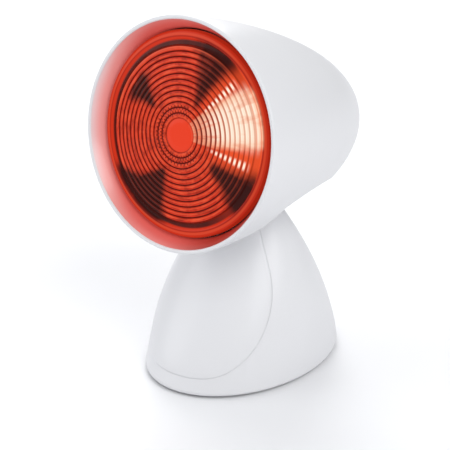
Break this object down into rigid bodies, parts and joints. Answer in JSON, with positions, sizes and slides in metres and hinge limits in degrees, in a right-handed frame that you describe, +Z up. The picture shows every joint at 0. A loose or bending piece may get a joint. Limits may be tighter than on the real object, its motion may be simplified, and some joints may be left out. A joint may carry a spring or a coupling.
{
  "type": "infrared heat therapy lamp",
  "caption": "Table-top infrared heat therapy lamp: an egg-shaped head with a red pressed-glass reflector bulb, tilting on a tapering oval foot.",
  "frame": {"origin": "on the table, at the middle of the underside of the oval anti-slip ring the lamp stands on", "axes": "+Z up; -Y to the front, the side the bulb shines to; +X to the lamp's left as it faces the person, which is to the right in the front view"},
  "size_m": [0.1376, 0.1767, 0.231],
  "materials": {
    "white_shell": "satin-gloss moulding",
    "white_cover": "satin-gloss moulding",
    "white_funnel": "gloss moulding",
    "white_belly": "fine matt moulding",
    "grey_plastic": "fine matt moulding",
    "rubber": "matt",
    "soft_white": "matt",
    "acetal": "satin",
    "steel": "zinc plated",
    "spring_steel": "bright rolled",
    "plated_steel": "zinc plated",
    "porcelain": "white glaze",
    "brass": "bright",
    "red_glass": "pressed, stained red",
    "silvered_glass": "silvered inside",
    "bulb_metal": "bright",
    "black_glass": "black vitrite",
    "solder": "soft solder",
    "tungsten": "coiled wire",
    "support_wire": "bright wire"
  },
  "bodies": {
    "foot": {"base_shell": "white_shell", "front_cover": "white_cover", "base_plate": "grey_plastic", "anti_slip_ring": "rubber", "base_screws": "steel", "hinge_pin": "steel", "pin_clips": "spring_steel", "hinge_washers": "acetal", "detent_spring": "spring_steel", "detent_screw": "steel", "cable_gland": "soft_white", "terminal_block": "acetal"},
    "head": {"head_shell": "white_shell", "funnel": "white_funnel", "belly_cover": "white_belly", "belly_screws": "steel", "holder_bracket": "plated_steel", "bracket_screws": "steel", "lamp_holder": "porcelain", "holder_screws": "steel", "screw_shell": "brass", "centre_contact": "brass"},
    "bulb": {"bulb_lens": "red_glass", "bulb_reflector": "silvered_glass", "bulb_skirt": "bulb_metal", "bulb_cap": "bulb_metal", "cap_insulator": "black_glass", "cap_contact": "solder", "filament": "tungsten", "filament_supports": "support_wire"}
  },
  "joints": [
    {"name": "head_tilt", "type": "hinge", "parent": "foot", "child": "head", "pos_m": [0, 0.006, 0.1], "axis": [-1, 0, 0], "range_deg": [-10, 30], "deforming": ["detent_spring"]},
    {"name": "bulb_removal", "type": "slide", "parent": "head", "child": "bulb", "axis": [0, -0.9871, 0.1599], "range_m": [0, 0.15]}
  ]
}
